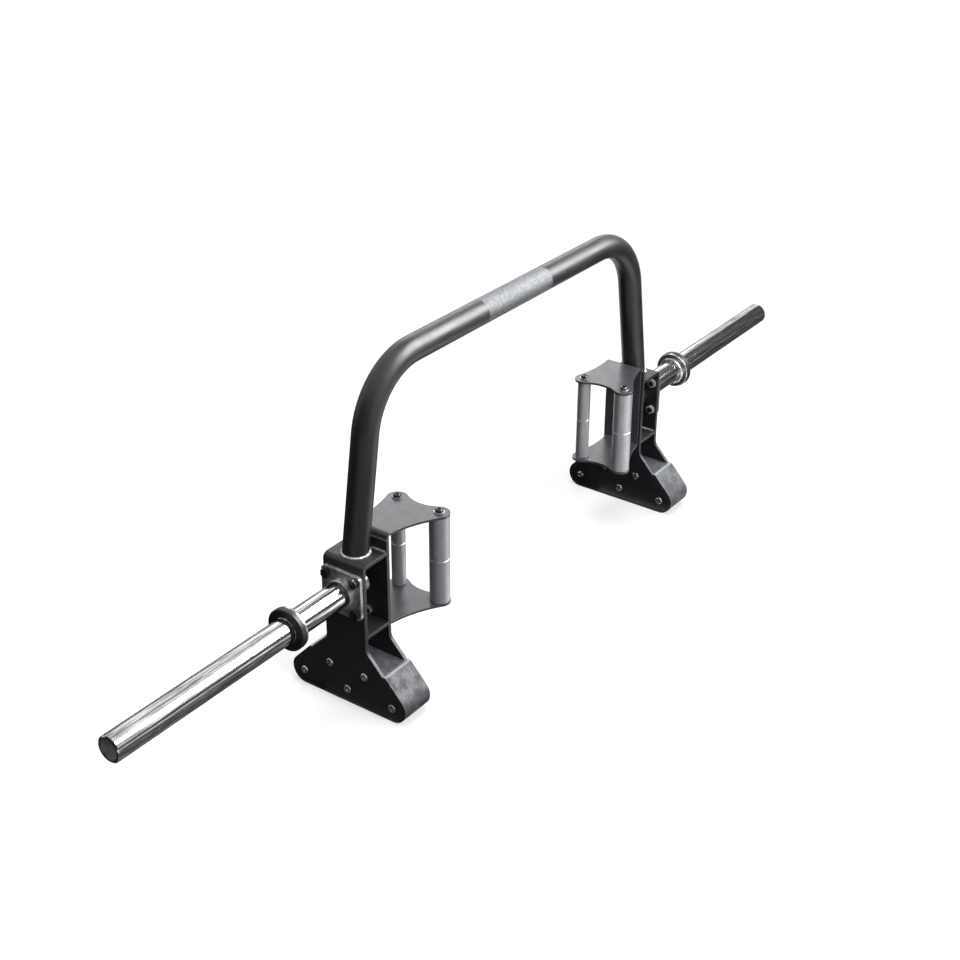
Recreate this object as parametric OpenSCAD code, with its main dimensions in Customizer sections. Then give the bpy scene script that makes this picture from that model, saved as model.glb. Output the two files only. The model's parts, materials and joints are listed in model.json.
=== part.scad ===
// Open-ended trap bar: a bent tube frame on two foot brackets, each with a concave
// handle bracket on its inner side and a free-turning plate sleeve on its outer side.
// X runs along the sleeves, Y runs front to back and Z is up from the floor.

/* [Overall] */
// Height of the sleeve axis above the floor
axle_height = 249; // [235:1:270]
// Distance from the middle of the bar to the outer face of a foot bracket
bracket_x = 529; // [470:1:600]

/* [Frame tube] */
// Outer diameter of the bent frame tube
tube_d = 50.8; // [42:0.1:54]
// Wall thickness of the frame tube
tube_wall = 3; // [2:0.5:6]
// Height of the crossbar axis above the floor
crossbar_height = 658; // [560:1:800]
// Centreline radius of the two bends
bend_radius = 140; // [100:1:180]
// Inward lean of each leg from upright, in degrees
leg_lean = 9.5; // [4:0.5:14]
// How far the leg's foot stands outside the middle of the channel
leg_shift = 0.75; // [0:0.05:3]
// Size of the weld bead round the foot of each leg
weld_size = 4; // [2:0.5:6]
// Size of the weld bead between the top plate and the inner plate
seam_size = 3; // [2:0.5:4]

/* [Foot bracket] */
// Thickness of the bracket plates
plate_t = 7; // [5:0.5:10]
// Clear width between the two plates of a bracket
channel_w = 61.5; // [56:0.5:75]
// Front to back width of the upright column
column_w = 95; // [88:1:120]
// Height of the folded top plate above the axle
top_rise = 66; // [62:1:90]
// Outer radius of the fold between the outer plate and the top plate
fold_radius = 12; // [10:0.5:16]
// Rise of the inner plate above the top plate
inner_rise = 23.5; // [22:0.5:40]
// Height of the shelf's upper face above the floor
shelf_height = 163; // [150:1:175]
// Thickness of the shelf
shelf_t = 6; // [4:0.5:10]
// Distance from the middle to the centre of each rounded toe
toe_y = 107; // [95:1:130]
// Radius of the plates at each rounded toe
toe_radius = 25; // [22:1:32]
// Slope of the toe's upper edge from the floor, in degrees
toe_slope = 47; // [42:1:55]
// Radius of the hollow between the column and the toe
neck_radius = 20; // [10:1:40]

/* [Foot block] */
// Thickness of the foot block's rim, which goes round the plates' edges
rim_t = 6; // [3:0.5:9]
// Gap between the rim and the plates' edges
rim_gap = 0.2; // [0.1:0.05:0.5]
// Height of the foot block's flat top above the floor
block_height = 91; // [86:1:105]
// Rise of the rim's ends above the flat top
rim_rise = 1.5; // [0.5:0.5:4]
// Width of the land on the rim's ends
rim_land = 4.5; // [3:0.5:7]
// Width of the groove between the rim's ends and the flat top
rim_groove_w = 3; // [1:0.5:4]
// Depth of that groove below the flat top
rim_groove_depth = 3; // [1:0.5:4]
// Height of the upper pair of foot bolts above the plates' lower edge
upper_bolt_z = 69; // [57:1:71]
// Distance of the upper pair of foot bolts from the middle
upper_bolt_y = 42; // [30:1:60]

/* [Handle bracket] */
// Distance from the middle of the bar to both handle axes
handle_x = 330.75; // [290:0.25:360]
// Distance of the thick handle's axis in front of the middle
thick_y = 70; // [60:1:80]
// Distance of the thin handle's axis behind the middle
thin_y = 30; // [26:1:40]
// Height of the handle bracket's top above the foot bracket's top plate
handle_rise = 33.5; // [31:0.5:60]
// Depth of the handles' lower ends below the shelf's upper face
handle_drop = 7; // [2:0.5:14]
// Thickness of the handle bracket
web_t = 5; // [4:0.5:8]
// Outer radius of the handle bracket's folds
web_fold = 9; // [7.5:0.5:14]
// Front to back width of the handle bracket's web
web_w = 86; // [78:1:95]
// Radius of the flange corners round the handles
corner_radius = 21; // [18:0.5:24]
// Radius of the hollow on the hand side of the flanges
hand_hollow = 70; // [60:1:120]
// Radius of the hollows in the flange sides that run to the web
side_hollow = 240; // [120:1:400]

/* [Handles] */
// Diameter of the thick handle
thick_d = 40; // [34:1:45]
// Diameter of the thin handle
thin_d = 28.5; // [25:0.5:33]
// Wall thickness of the thick handle's tube
thick_wall = 5; // [3:0.5:8]
// Length of the plug in each end of the thick handle
plug_len = 34; // [32:1:60]
// Width of the groove round the middle of a handle
groove_w = 2.4; // [1:0.2:3]
// Depth of the groove round the middle of a handle
groove_depth = 1.2; // [0.4:0.1:1.5]
// Chamfer on the ends of the handles and on the turned edges of the sleeve set
turned_ease = 1; // [0.5:0.25:1.5]

/* [Axle] */
// Width of the square axle flange
flange_w = 92; // [84:1:95]
// Thickness of the axle flange
flange_t = 8; // [6:0.5:12]
// Corner radius of the axle flange
flange_corner = 8; // [4:0.5:14]
// Distance between the flange bolts, both ways
flange_pitch = 66; // [62:0.5:70]
// Outer diameter of the hub ring on the flange
hub_d = 58; // [54:0.5:66]
// Length of the hub ring
hub_len = 8; // [5:0.5:14]
// Diameter of the axle's spigot through the plate
spigot_d = 50; // [44:0.5:52]
// Reach of the spigot past the plate, into the channel
spigot_reach = 38; // [20:1:50]
// Diameter of the axle's shoulder
shoulder_d = 40; // [36:0.5:43]
// Length of the shoulder outside the hub ring
shoulder_len = 7; // [4:0.5:12]
// Diameter of the long journal that the sleeve turns on
journal_d = 30; // [24:0.5:32]
// Depth of the snap ring's groove in the journal
snap_groove_depth = 1.5; // [1:0.25:2]
// Length of the journal past the snap ring
journal_tail = 2; // [1:0.5:4]

/* [Sleeve] */
// Outer diameter of the plate sleeve where the plates go
sleeve_d = 50; // [48:0.1:50.5]
// How much larger the sleeve is across at its inner section, up to the buffer ring
seat_step = 1; // [0.4:0.1:2]
// Wall thickness of the plate sleeve
sleeve_wall = 6; // [4:0.5:7]
// Length of the plate sleeve
sleeve_len = 551; // [380:1:620]
// Size of the chamfer on the sleeve's ends
sleeve_chamfer = 2; // [0.5:0.5:3]
// Distance from the sleeve's inner end to the collar
collar_offset = 118; // [90:1:160]
// Outer diameter of the collar disc
collar_d = 80.6; // [74:0.2:90]
// Thickness of the collar disc
collar_t = 5; // [3:0.5:8]
// Length of the flared hub behind the collar disc
collar_hub = 6; // [3:0.5:10]
// Wall of the flared hub at its thin end
collar_lip = 2; // [1:0.5:4]
// Outer diameter of the rubber buffer ring
buffer_d = 83; // [76:0.5:94]
// Thickness of the rubber buffer ring
buffer_t = 12.4; // [8:0.2:18]
// Chamfer on the buffer ring's outer face
buffer_ease = 2; // [1:0.5:4]
// Depth of the end cap below the sleeve's rim
cap_recess = 3; // [1:0.5:6]
// Width of the end cap's raised rim
cap_rim = 2; // [1:0.5:4]
// Thickness of the end cap
cap_t = 10; // [5:1:16]

/* [Bearings] */
// Length of each plain bush
bush_len = 40; // [25:1:60]
// Distance from the sleeve's outer end to the outer bush
bush_inset = 34; // [30:1:60]
// Thickness of the thrust washer
thrust_t = 2; // [1.5:0.5:3]
// Thickness of the snap ring
snap_t = 2; // [1.5:0.25:2.5]

/* [Fasteners] */
// Shank diameter of the foot, handle and handle bracket bolts
bolt_d = 10; // [8:1:10]
// Head diameter of those bolts
head_d = 17.5; // [15:0.5:18]
// Head height of those bolts
head_h = 5.5; // [4:0.5:6]
// Width across the flats of their nuts
nut_af = 16; // [14:0.5:17]
// Height of their nuts
nut_h = 6; // [5:0.5:8]
// Thread length of a foot bolt inside the block
foot_grip = 18; // [14:1:24]
// Distance of the handle bracket bolts from the shelf and from the top plate
bracket_bolt_gap = 11; // [10:0.5:14]
// Length of a bolt's end past its nut
bolt_tail = 2; // [1:0.5:4]
// Depth left free below a handle bolt in its tapped hole
tap_spare = 4; // [2:0.5:8]
// Shank diameter of the flange bolts
flange_bolt_d = 12; // [10:1:12]
// Width across the flats of the flange bolts
flange_bolt_af = 18; // [16:0.5:19]
// Head height of the flange bolts
flange_head_h = 7.5; // [6:0.5:9]
// Diameter of the washers under the handle bolts
washer_d = 21; // [19:0.5:24]
// Thickness of the washers under the handle bolts
washer_t = 2; // [1:0.5:3]

/* [Fits] */
// Clearance of a bolt in its hole, on the diameter
bolt_clearance = 0.6; // [0.3:0.1:1]
// Radial running clearance between the journal and its bushes
running_fit = 0.05; // [0.03:0.01:0.08]
// End play of the sleeve along the axle
end_play = 0.3; // [0.2:0.1:0.6]

/* [Hidden] */
$fn = 96;

eps = 0.01;
left = -1;
right = 1;

// Planes of the bracket's plates, from the middle outwards
outer_in = bracket_x - plate_t;
inner_out = outer_in - channel_w;
inner_in = inner_out - plate_t;
web_in = inner_in - web_t;

// Heights above the floor
plate_base = rim_t;
top_z = axle_height + top_rise;
inner_top = top_z + inner_rise;
handle_base = shelf_height - handle_drop;
bracket_low = handle_base - web_t;
bracket_high = top_z + handle_rise;
handle_len = bracket_high - web_t - handle_base;
toe_z = plate_base + toe_radius;
// Distance of the plates' sloping edges from the origin, and the places across a rim's end
slope_edge = sin(toe_slope) * toe_y + cos(toe_slope) * toe_z + toe_radius;
rim_top = block_height + rim_rise;
rim_y = (slope_edge + rim_t - cos(toe_slope) * rim_top) / sin(toe_slope);
land_y = rim_y - rim_land;
core_y = land_y - rim_groove_w;

// Frame tube: the bend's centre is one bend radius from the crossbar and from the leg
leg_foot_x = (inner_out + outer_in) / 2 + leg_shift;
bend_z = crossbar_height - bend_radius;
bend_x = leg_foot_x - (bend_radius + (bend_z - top_z) * sin(leg_lean)) / cos(leg_lean);
leg_start_z = bend_z + bend_radius * sin(leg_lean);
leg_overrun = tube_d;
// Thickening of the wall, each way, where the tube is bent
bend_swell = 0.05;
leg_len = (leg_start_z - top_z) / cos(leg_lean) + leg_overrun;

// Stations along the axle and sleeve, from the middle outwards
flange_out = bracket_x + flange_t;
hub_out = flange_out + hub_len;
shoulder_out = hub_out + shoulder_len;
thrust_out = shoulder_out + thrust_t;
sleeve_in = thrust_out + end_play;
sleeve_out = sleeve_in + sleeve_len;
bush_out = sleeve_out - bush_inset;
cap_out = sleeve_out - cap_recess;
bush_bore = journal_d + 2 * running_fit;
sleeve_bore = sleeve_d - 2 * sleeve_wall;
retainer_in = bush_out + end_play;
groove_in = retainer_in + thrust_t;
journal_out = groove_in + snap_t + journal_tail;
snap_groove_d = journal_d - 2 * snap_groove_depth;
retainer_gap = 1;
retainer_d = sleeve_bore - 2 * retainer_gap;
collar_in = sleeve_in + collar_offset;
buffer_in = collar_in + collar_t;
buffer_out = buffer_in + buffer_t;
seat_d = sleeve_d + seat_step;

// Fasteners
bolt_hole = bolt_d + bolt_clearance;
flange_hole = flange_bolt_d + bolt_clearance;
dome_rim = head_h * 0.35;
socket_af = head_d * 0.36;
socket_depth = head_h * 0.5;
// Centres of the foot bolts as front-to-back place and height
foot_bolt_at = [
    [-toe_y, toe_z], [toe_y, toe_z],
    [-upper_bolt_y, plate_base + upper_bolt_z], [upper_bolt_y, plate_base + upper_bolt_z],
    [0, toe_z]
];
// Centres of the handle bracket bolts as front-to-back place and height
bracket_bolt_at = [
    [0, shelf_height + bracket_bolt_gap], [0, top_z - plate_t - bracket_bolt_gap]
];
// Centres of the flange bolts as front-to-back place and height
flange_bolt_at = [
    for (y = [-flange_pitch / 2, flange_pitch / 2])
        for (z = [-flange_pitch / 2, flange_pitch / 2]) [y, axle_height + z]
];
// Signed front-to-back places of the two handles
handle_at = [-thick_y, thin_y];

// Puts pieces drawn for the right end on either end of the bar
module on_side(side) {
    if (side == left) mirror([1, 0, 0]) children();
    else children();
}

// Extrudes a front-to-back by height outline along X, from x0 to x1
module plate_x(x0, x1) {
    translate([x0, 0, 0]) rotate([90, 0, 90]) linear_extrude(x1 - x0) children();
}

// Turns a length by radius profile about the X axis at the axle's height
module turned_x() {
    translate([0, 0, axle_height]) rotate([0, 90, 0]) rotate([0, 0, 90])
        rotate_extrude() children();
}

// Bar along X at a front-to-back place and height
module bar_x(x0, x1, d, y = 0, z = axle_height) {
    translate([x0, y, z]) rotate([0, 90, 0]) cylinder(d = d, h = x1 - x0);
}

// Button head with a hexagon socket, seated on z = 0 and domed upwards
module button_head() {
    difference() {
        rotate_extrude() polygon([
            [0, 0], [head_d / 2, 0], [head_d / 2, dome_rim],
            [head_d * 0.44, head_h * 0.7], [head_d * 0.34, head_h * 0.92],
            [head_d * 0.24, head_h], [0, head_h]
        ]);
        translate([0, 0, head_h - socket_depth])
            cylinder(d = socket_af / cos(30), h = socket_depth + eps, $fn = 6);
    }
}

// Button-head bolt: head above z = 0 and shank of the given length below
module button_bolt(shank) {
    button_head();
    translate([0, 0, -shank]) cylinder(d = bolt_d, h = shank + eps);
}

// Outline of a foot bracket's plate up to its neck, grown by an edge offset
module foot_outline(grow = 0) {
    r = toe_radius + grow;
    slope_y = sin(toe_slope);
    slope_z = cos(toe_slope);
    edge = slope_edge + grow;
    hollow = neck_radius - grow;
    hollow_y = column_w / 2 + grow + hollow;
    hollow_z = (edge + hollow - slope_y * hollow_y) / slope_z;
    neck_y = hollow_y - hollow * slope_y;
    neck_z = hollow_z - hollow * slope_z;
    polygon([
        [-toe_y, toe_z - r], [toe_y, toe_z - r],
        [toe_y + r * slope_y, toe_z + r * slope_z], [neck_y, neck_z],
        [-neck_y, neck_z], [-toe_y - r * slope_y, toe_z + r * slope_z]
    ]);
    difference() {
        translate([-neck_y, toe_z]) square([2 * neck_y, hollow_z - toe_z]);
        for (s = [-1, 1]) translate([s * hollow_y, hollow_z]) circle(r = hollow);
    }
    for (s = [-1, 1]) translate([s * toe_y, toe_z]) circle(r = r);
}

// Whole outline of a plate whose column reaches the given height
module column_outline(height) {
    foot_outline();
    translate([-column_w / 2, toe_z]) square([column_w, height - toe_z]);
}

module foot_holes(d) {
    for (p = foot_bolt_at) translate(p) circle(d = d);
}

// Ring section of the frame tube, across its run, with its wall thickened both ways
module tube_section(swell = 0) {
    difference() {
        circle(d = tube_d + 2 * swell);
        circle(d = tube_d - 2 * tube_wall - 2 * swell);
    }
}

// One half of the frame tube, from past the middle of the crossbar to past the leg's foot
module half_frame() {
    bend_turn = 90 - leg_lean;
    translate([bend_x, 0, bend_z]) rotate([90, 0, 0]) rotate([0, 0, leg_lean]) {
        rotate_extrude(angle = bend_turn) translate([bend_radius, 0]) tube_section(bend_swell);
        translate([bend_radius, 0, 0]) rotate([90, 0, 0])
            linear_extrude(leg_len) tube_section();
        rotate([0, 0, bend_turn]) translate([bend_radius, 0, 0]) rotate([-90, 0, 0])
            linear_extrude(bend_x + tube_d) tube_section();
    }
}

module frame_tube() {
    color("#3c3d3f") for (side = [left, right]) on_side(side) intersection() {
        half_frame();
        translate([0, -tube_d, top_z]) cube([bracket_x, 2 * tube_d, crossbar_height]);
    }
}

// Fillet bead round the leg's foot, leaning with the leg
module leg_weld() {
    color("#b9babc") translate([leg_foot_x, 0, top_z]) difference() {
        cylinder(d1 = tube_d + 2 * weld_size, d2 = tube_d + weld_size, h = weld_size);
        rotate([0, -leg_lean, 0]) translate([0, 0, -tube_d])
            cylinder(d = tube_d, h = 2 * tube_d);
    }
}

// Pair of fillet beads in a corner that runs front to back, left open in the middle
module seam_pair(x, z, way) {
    start = tube_d / 4;
    reach = column_w / 2 - seam_size;
    for (s = [-1, 1]) translate([x, (s > 0 ? reach : -start), z]) rotate([90, 0, 0])
        linear_extrude(reach - start)
            polygon([[0, 0], [way * seam_size, 0], [0, seam_size]]);
}

// Beads where the top plate meets the inner plate and the shelf meets the outer one
module seam_welds() {
    color("#b9babc") for (side = [left, right]) on_side(side) {
        seam_pair(inner_out, top_z, 1);
        seam_pair(outer_in, shelf_height, -1);
    }
}

// Outer plate folded over at the top to carry the frame tube
module outer_plate() {
    inside = fold_radius - plate_t;
    color("#1f2123") difference() {
        union() {
            plate_x(outer_in, bracket_x) column_outline(top_z - fold_radius);
            translate([bracket_x - fold_radius, column_w / 2, top_z - fold_radius])
                rotate([90, 0, 0]) linear_extrude(column_w) difference() {
                    intersection() {
                        circle(r = fold_radius);
                        square(fold_radius + eps);
                    }
                    circle(r = inside);
                }
            translate([inner_out, -column_w / 2, top_z - plate_t])
                cube([bracket_x - fold_radius - inner_out, column_w, plate_t]);
        }
        plate_x(outer_in - eps, bracket_x + eps) foot_holes(bolt_hole);
        bar_x(outer_in - eps, bracket_x + eps, spigot_d);
        for (p = flange_bolt_at)
            bar_x(outer_in - eps, bracket_x + eps, flange_hole, p[0], p[1]);
    }
}

module inner_plate() {
    color("#1f2123") plate_x(inner_in, inner_out) difference() {
        column_outline(inner_top);
        foot_holes(bolt_hole);
        for (p = bracket_bolt_at) translate(p) circle(d = bolt_hole);
    }
}

module shelf() {
    color("#2a2c2e") translate([inner_out, -column_w / 2, shelf_height - shelf_t])
        cube([channel_w, column_w, shelf_t]);
}

// Outline of the foot block: flat top, and a rim with a groove behind each of its ends
module block_outline() {
    far = 2 * (toe_y + toe_radius);
    groove_z = block_height - rim_groove_depth;
    intersection() {
        foot_outline(rim_t);
        polygon([
            [-far, -far], [far, -far], [far, rim_top], [land_y, rim_top], [land_y, groove_z],
            [core_y, groove_z], [core_y, block_height], [-core_y, block_height],
            [-core_y, groove_z], [-land_y, groove_z], [-land_y, rim_top], [-far, rim_top]
        ]);
    }
}

// Solid block that meets the floor, with a rebate on each side where a plate sits
module foot_block() {
    color("#5d6064") difference() {
        plate_x(inner_in, bracket_x) block_outline();
        plate_x(inner_in - eps, inner_out) foot_outline(rim_gap);
        plate_x(outer_in, bracket_x + eps) foot_outline(rim_gap);
        for (p = foot_bolt_at) {
            bar_x(inner_out - eps, inner_out + foot_grip, bolt_d, p[0], p[1]);
            bar_x(outer_in - foot_grip, outer_in + eps, bolt_d, p[0], p[1]);
        }
    }
}

// Centre at distance ra from a and rb from b, on the left of the way from a to b
function meet(a, ra, b, rb) =
    let (d = norm(b - a), along = (d * d + ra * ra - rb * rb) / (2 * d), u = (b - a) / d)
    a + u * along + sqrt(ra * ra - along * along) * [-u[1], u[0]];

// Point where the circle round a, of radius r, touches the one round b
function touch(a, r, b) = a + (b - a) * r / norm(b - a);

// Block with the plan of a handle flange: round corners at the handles, joined by hollow
// sides that touch them
module flange_block() {
    r = corner_radius;
    front = [handle_x, -thick_y];
    rear = [handle_x, thin_y];
    web_front = [inner_in, -web_w / 2];
    web_rear = [inner_in, web_w / 2];
    hand = meet(front, hand_hollow + r, rear, hand_hollow + r);
    front_side = meet(web_front, side_hollow, front, side_hollow + r);
    rear_side = meet(rear, side_hollow + r, web_rear, side_hollow);
    height = bracket_high - bracket_low;
    translate([0, 0, bracket_low]) {
        linear_extrude(height) difference() {
            polygon([
                front, touch(front, r, hand), touch(rear, r, hand), rear,
                touch(rear, r, rear_side), web_rear, web_front, touch(front, r, front_side)
            ]);
            translate(hand) circle(r = hand_hollow, $fn = 180);
            for (p = [front_side, rear_side])
                translate(p) circle(r = side_hollow, $fn = 360);
        }
        for (p = [front, rear]) translate(p) cylinder(r = r, h = height);
    }
}

// Profile of the handle bracket, as X by height, brought in by an inset on all sides but the open one
module channel_shape(open_x, inset) {
    r = web_fold - inset;
    shut_x = inner_in - inset;
    low = bracket_low + inset;
    high = bracket_high - inset;
    translate([open_x, low]) square([shut_x - r - open_x, high - low]);
    translate([open_x, low + r]) square([shut_x - open_x, high - low - 2 * r]);
    for (z = [low + r, high - r]) translate([shut_x - r, z]) circle(r = r);
}

module handle_bracket() {
    open_x = handle_x - 2 * corner_radius;
    color("#7d7f83") difference() {
        intersection() {
            translate([0, toe_y, 0]) rotate([90, 0, 0]) linear_extrude(2 * toe_y) difference() {
                channel_shape(open_x, 0);
                channel_shape(open_x - 1, web_t);
            }
            flange_block();
        }
        for (p = bracket_bolt_at) bar_x(web_in - eps, inner_in + eps, bolt_hole, p[0], p[1]);
        for (y = handle_at) translate([handle_x, y, bracket_low - eps])
            cylinder(d = bolt_hole, h = bracket_high - bracket_low + 2 * eps);
    }
}

// Turned handle with eased ends and a groove at mid length, less what it is given to cut
module handle(d) {
    r = d / 2;
    mid = handle_len / 2;
    translate([handle_x, 0, handle_base]) difference() {
        rotate_extrude() polygon([
            [0, 0], [r - turned_ease, 0], [r, turned_ease],
            [r, mid - groove_w / 2], [r - groove_depth, mid],
            [r, mid + groove_w / 2], [r, handle_len - turned_ease],
            [r - turned_ease, handle_len], [0, handle_len]
        ]);
        children();
    }
}

module thick_handle() {
    bore = thick_d - 2 * thick_wall;
    color("#a9abae") translate([0, -thick_y, 0]) handle(thick_d)
        translate([0, 0, -eps]) cylinder(d = bore, h = handle_len + 2 * eps);
}

module thin_handle() {
    color("#a9abae") translate([0, thin_y, 0]) handle(thin_d)
        for (z = [-eps, handle_len - plug_len + eps])
            translate([0, 0, z]) cylinder(d = bolt_d, h = plug_len);
}

// Tapped plugs in the two ends of the thick handle's tube
module end_plugs() {
    bore = thick_d - 2 * thick_wall;
    color("#8f9194") for (z = [0, handle_len - plug_len])
        translate([handle_x, -thick_y, handle_base + z]) difference() {
            cylinder(d = bore, h = plug_len);
            translate([0, 0, -eps]) cylinder(d = bolt_d, h = plug_len + 2 * eps);
        }
}

// Square flange with rounded corners and a raised hub ring
module axle_flange() {
    inset = flange_w / 2 - flange_corner;
    r = hub_d / 2;
    c = turned_ease;
    color("#b6b8ba") difference() {
        union() {
            plate_x(bracket_x, flange_out) translate([0, axle_height]) {
                square([flange_w, 2 * inset], center = true);
                square([2 * inset, flange_w], center = true);
                for (y = [-inset, inset]) for (z = [-inset, inset])
                    translate([y, z]) circle(r = flange_corner);
            }
            turned_x() polygon([
                [0, flange_out - eps], [r + c, flange_out - eps],
                [r + c, flange_out], [r, flange_out + c],
                [r, hub_out - c], [r - c, hub_out], [0, hub_out]
            ]);
        }
        bar_x(bracket_x - eps, hub_out + eps, spigot_d);
        for (p = flange_bolt_at)
            bar_x(bracket_x - eps, flange_out + eps, flange_hole, p[0], p[1]);
    }
}

// One turned shaft: spigot, shoulder and the long journal with a snap ring groove
module axle() {
    r = journal_d / 2;
    c = turned_ease;
    spigot_in = outer_in - spigot_reach;
    color("#8e9093") turned_x() polygon([
        [0, spigot_in], [spigot_d / 2 - c, spigot_in], [spigot_d / 2, spigot_in + c],
        [spigot_d / 2, hub_out], [shoulder_d / 2, hub_out],
        [shoulder_d / 2, shoulder_out], [r, shoulder_out],
        [r, groove_in], [snap_groove_d / 2, groove_in],
        [snap_groove_d / 2, groove_in + snap_t], [r, groove_in + snap_t],
        [r, journal_out - c], [r - c, journal_out], [0, journal_out]
    ]);
}

// Flat ring on the journal
module ring_x(x0, x1, d, bore) {
    difference() {
        bar_x(x0, x1, d);
        bar_x(x0 - eps, x1 + eps, bore);
    }
}

module thrust_washer() {
    color("#a5824a") ring_x(shoulder_out, thrust_out, shoulder_d, journal_d);
}

module retaining_washer() {
    color("#8e9093") ring_x(retainer_in, groove_in, retainer_d, journal_d);
}

// Open spring ring seated in the journal's groove
module snap_ring() {
    opening = 30;
    color("#5a5c5e") translate([groove_in, 0, axle_height]) rotate([0, 90, 0])
        rotate([0, 0, opening / 2]) rotate_extrude(angle = 360 - opening)
            translate([snap_groove_d / 2, 0])
                square([(retainer_d - snap_groove_d) / 2 - retainer_gap, snap_t]);
}

// Plate sleeve: a tube with chamfered ends, a little larger across up to the buffer ring
module sleeve() {
    r = sleeve_d / 2;
    seat = seat_d / 2;
    bore = sleeve_bore / 2;
    c = sleeve_chamfer;
    color("#c9cbcd") turned_x() polygon([
        [bore, sleeve_in], [seat - turned_ease, sleeve_in], [seat, sleeve_in + turned_ease],
        [seat, buffer_out], [r, buffer_out + seat_step / 2],
        [r, sleeve_out - c], [r - c, sleeve_out], [bore, sleeve_out]
    ]);
}

module bush(x0) {
    color("#a5824a") ring_x(x0, x0 + bush_len, sleeve_bore, bush_bore);
}

// Collar disc with a flared hub on its inner side
module collar() {
    r = seat_d / 2;
    c = turned_ease;
    hub = r + collar_lip;
    color("#bfc1c3") turned_x() difference() {
        polygon([
            [r, collar_in - collar_hub], [hub, collar_in - collar_hub],
            [hub + collar_hub, collar_in], [collar_d / 2 - c, collar_in],
            [collar_d / 2, collar_in + c], [collar_d / 2, buffer_in], [r, buffer_in]
        ]);
        translate([hub + collar_hub, collar_in - collar_hub]) circle(r = collar_hub);
    }
}

// Rubber ring that the first plate rests against
module buffer_ring() {
    r = seat_d / 2;
    outer = buffer_d / 2;
    c = turned_ease;
    color("#161718") turned_x() polygon([
        [r, buffer_in], [outer - c, buffer_in], [outer, buffer_in + c],
        [outer, buffer_out - buffer_ease], [outer - buffer_ease, buffer_out], [r, buffer_out]
    ]);
}

// Dished cap pressed into the sleeve's outer end
module end_cap() {
    r = sleeve_bore / 2;
    c = turned_ease;
    color("#77797c") turned_x() polygon([
        [0, cap_out - cap_t], [r, cap_out - cap_t], [r, cap_out],
        [r - cap_rim, cap_out], [r - cap_rim - c, cap_out - c], [0, cap_out - c]
    ]);
}

// Places a bolt drawn along Z so that its head faces outwards or inwards along X
module along_x(x, at, way) {
    translate([x, at[0], at[1]]) rotate([0, 90 * way, 0]) children();
}

module foot_bolts() {
    color("#3b3d40") for (side = [left, right]) on_side(side) for (p = foot_bolt_at) {
        along_x(bracket_x, p, 1) button_bolt(plate_t + foot_grip);
        along_x(inner_in, p, -1) button_bolt(plate_t + foot_grip);
    }
}

module hex_nut(af, bore, h) {
    difference() {
        cylinder(d = af / cos(30), h = h, $fn = 6);
        translate([0, 0, -eps]) cylinder(d = bore, h = h + 2 * eps);
    }
}

module flange_bolts() {
    shank = flange_t + plate_t + nut_h + bolt_tail;
    color("#4a4c4f") for (side = [left, right]) on_side(side) for (p = flange_bolt_at)
        along_x(flange_out, p, 1) {
            cylinder(d = flange_bolt_af / cos(30), h = flange_head_h, $fn = 6);
            translate([0, 0, -shank]) cylinder(d = flange_bolt_d, h = shank + eps);
        }
}

module flange_nuts() {
    color("#9a9c9f") for (side = [left, right]) on_side(side) for (p = flange_bolt_at)
        along_x(outer_in, p, -1) hex_nut(flange_bolt_af, flange_bolt_d, nut_h);
}

module bracket_bolts() {
    shank = web_t + plate_t + nut_h + bolt_tail;
    color("#3b3d40") for (side = [left, right]) on_side(side) for (p = bracket_bolt_at)
        along_x(web_in, p, -1) button_bolt(shank);
}

module bracket_nuts() {
    color("#9a9c9f") for (side = [left, right]) on_side(side) for (p = bracket_bolt_at)
        along_x(inner_out, p, 1) rotate([0, 0, 30]) hex_nut(nut_af, bolt_d, nut_h);
}

// Runs a child at both ends of both handles, on the flanges' outer faces and facing away
module at_handle_ends() {
    for (side = [left, right]) on_side(side) for (y = handle_at) {
        translate([handle_x, y, bracket_high]) children();
        translate([handle_x, y, bracket_low]) mirror([0, 0, 1]) children();
    }
}

module handle_bolts() {
    color("#3b3d40") at_handle_ends() translate([0, 0, washer_t])
        button_bolt(washer_t + web_t + plug_len - tap_spare);
}

module handle_washers() {
    color("#8e9093") at_handle_ends() difference() {
        cylinder(d = washer_d, h = washer_t);
        translate([0, 0, -eps]) cylinder(d = bolt_hole, h = washer_t + 2 * eps);
    }
}

frame_tube();
on_side(left) leg_weld();  // left_weld
on_side(right) leg_weld();  // right_weld
seam_welds();
on_side(left) outer_plate();  // left_outer_plate
on_side(right) outer_plate();  // right_outer_plate
on_side(left) inner_plate();  // left_inner_plate
on_side(right) inner_plate();  // right_inner_plate
on_side(left) shelf();  // left_shelf
on_side(right) shelf();  // right_shelf
on_side(left) foot_block();  // left_foot_block
on_side(right) foot_block();  // right_foot_block
on_side(left) handle_bracket();  // left_handle_bracket
on_side(right) handle_bracket();  // right_handle_bracket
on_side(left) thick_handle();  // left_thick_handle
on_side(right) thick_handle();  // right_thick_handle
on_side(left) thin_handle();  // left_thin_handle
on_side(right) thin_handle();  // right_thin_handle
for (side = [left, right]) on_side(side) end_plugs();  // thick_handle_plugs
on_side(left) axle_flange();  // left_axle_flange
on_side(right) axle_flange();  // right_axle_flange
on_side(left) axle();  // left_axle
on_side(right) axle();  // right_axle
on_side(left) thrust_washer();  // left_thrust_washer
on_side(right) thrust_washer();  // right_thrust_washer
on_side(left) retaining_washer();  // left_retaining_washer
on_side(right) retaining_washer();  // right_retaining_washer
on_side(left) snap_ring();  // left_snap_ring
on_side(right) snap_ring();  // right_snap_ring
on_side(left) sleeve();  // left_sleeve
on_side(right) sleeve();  // right_sleeve
on_side(left) bush(sleeve_in);  // left_inner_bush
on_side(right) bush(sleeve_in);  // right_inner_bush
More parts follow.
